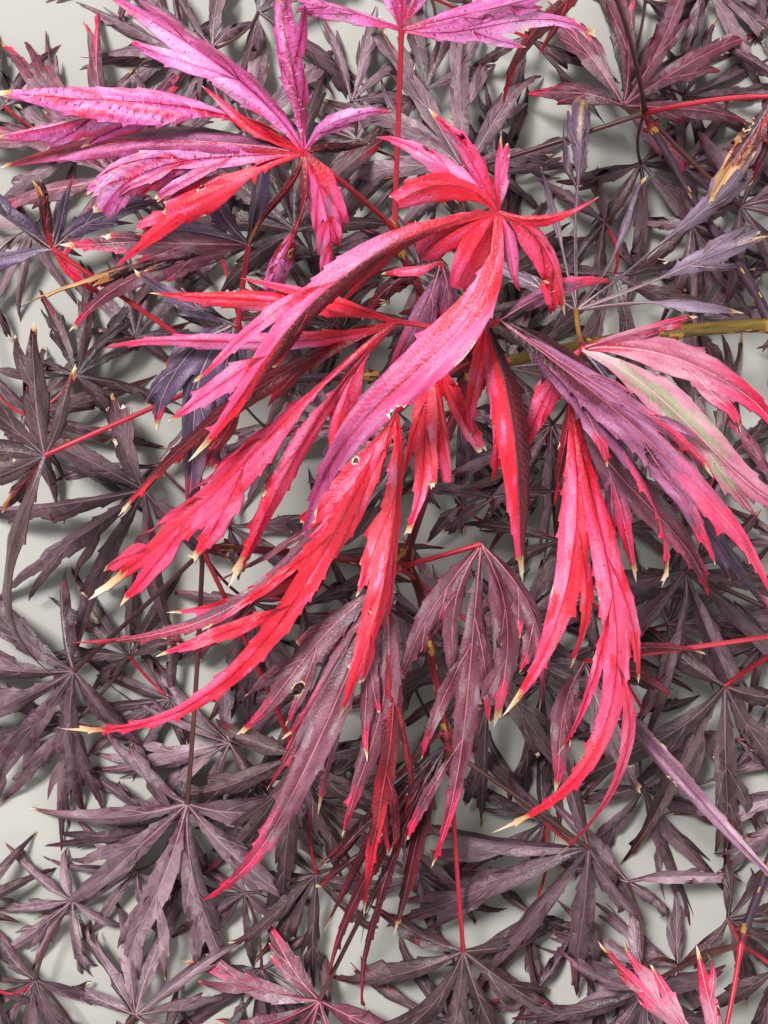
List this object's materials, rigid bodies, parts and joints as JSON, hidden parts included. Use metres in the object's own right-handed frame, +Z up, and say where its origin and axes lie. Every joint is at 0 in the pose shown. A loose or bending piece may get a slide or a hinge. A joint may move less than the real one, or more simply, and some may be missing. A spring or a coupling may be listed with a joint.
{
  "type": "cut japanese maple branch",
  "caption": "Cut branch of a laceleaf maple lying down, with forked shoots and drooping, finely cut red and purple leaves.",
  "frame": {"origin": "on the surface that the branch lies on, under the middle of its bounding box", "axes": "+Z up from that surface; the cut end of the main stem points towards +X; the leaves hang towards -Y, and the branch is longest along Y"},
  "size_m": [0.2988, 0.3602, 0.1036],
  "materials": {
    "stem_bark": "smooth thin bark, satin",
    "shoot_bark": "smooth young bark, satin",
    "red_leaf": "leaf, semi-gloss",
    "purple_leaf": "leaf, semi-gloss"
  },
  "bodies": {
    "root": {"main_stem": "stem_bark", "right_bough": "shoot_bark", "upper_right_bough": "shoot_bark", "leader_shoot": "shoot_bark", "upper_shoot": "shoot_bark", "lower_shoot": "shoot_bark", "low_left_shoot": "shoot_bark", "tail_shoot": "shoot_bark", "foliage_crown": "red_leaf", "foliage_upper": "red_leaf", "foliage_right": "red_leaf", "foliage_tail": "red_leaf", "foliage_left": "purple_leaf", "foliage_lower": "purple_leaf", "foliage_low_left": "purple_leaf", "foliage_low_right": "purple_leaf", "foliage_mid_right": "purple_leaf", "foliage_upper_right": "purple_leaf"}
  },
  "joints": []
}
